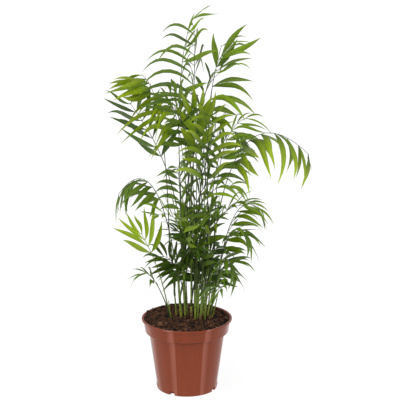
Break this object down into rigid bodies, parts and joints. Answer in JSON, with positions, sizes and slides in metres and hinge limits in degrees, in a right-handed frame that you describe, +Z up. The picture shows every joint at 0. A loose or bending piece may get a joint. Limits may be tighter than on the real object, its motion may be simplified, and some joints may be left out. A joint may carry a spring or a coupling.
{
  "type": "parlour palm in a pot",
  "caption": "Young clump of slim green canes with feather-shaped fronds, standing in a round tapered plastic nursery pot filled with potting soil.",
  "frame": {"origin": "centre of the pot's flat underside, on the level it stands on", "axes": "+Z up along the pot's axis and the plant's height, +X to the plant's right seen from its front, -Y towards its front"},
  "size_m": [0.2698, 0.2392, 0.5051],
  "materials": {
    "pot_plastic": "moulded terracotta-coloured plastic with a soft gloss",
    "potting_soil": "rough, dark brown bark and coir crumbs",
    "cane_green": "smooth fresh green stem, paler at its foot, with ring scars",
    "frond_deep": "satin leaf, deep green",
    "frond_mid": "satin leaf, mid green",
    "frond_fresh": "satin leaf, fresh green",
    "frond_pale": "satin leaf, pale yellow-green"
  },
  "bodies": {
    "root": {"pot": "pot_plastic", "soil": "potting_soil", "cane_1": "cane_green", "cane_2": "cane_green", "cane_3": "cane_green", "cane_4": "cane_green", "cane_5": "cane_green", "cane_6": "cane_green", "cane_7": "cane_green", "cane_8": "cane_green", "cane_9": "cane_green", "cane_10": "cane_green", "cane_11": "cane_green", "cane_12": "cane_green", "cane_13": "cane_green", "cane_14": "cane_green", "frond_top_arch": "frond_mid", "frond_spire": "frond_fresh", "frond_top_right": "frond_fresh", "frond_left_fan": "frond_fresh", "frond_left_high": "frond_deep", "frond_right_droop": "frond_mid", "frond_front_arcs": "frond_fresh", "frond_right_small": "frond_fresh", "frond_right_arch": "frond_mid", "frond_left_droop": "frond_mid", "frond_pale_fan": "frond_pale", "frond_left_low": "frond_mid", "frond_centre_blade": "frond_fresh", "frond_right_mid_high": "frond_fresh", "frond_right_mid": "frond_mid", "frond_right_low": "frond_mid", "frond_top_blade": "frond_fresh", "frond_back_arch": "frond_mid", "frond_low_1": "frond_deep", "frond_low_2": "frond_mid", "frond_low_3": "frond_deep", "frond_low_4": "frond_mid", "frond_low_5": "frond_deep", "frond_low_6": "frond_mid", "frond_low_7": "frond_deep", "frond_low_8": "frond_mid", "frond_low_9": "frond_deep", "frond_low_10": "frond_mid", "frond_middle_1": "frond_mid", "frond_middle_2": "frond_fresh", "frond_middle_3": "frond_mid", "frond_middle_4": "frond_fresh", "frond_middle_5": "frond_mid", "frond_middle_6": "frond_fresh", "frond_middle_7": "frond_mid", "frond_middle_8": "frond_fresh", "frond_middle_9": "frond_mid", "frond_high_1": "frond_mid", "frond_high_2": "frond_fresh", "frond_high_3": "frond_mid", "frond_high_4": "frond_fresh", "frond_high_5": "frond_mid", "frond_high_6": "frond_fresh", "frond_high_7": "frond_mid"}
  },
  "joints": []
}
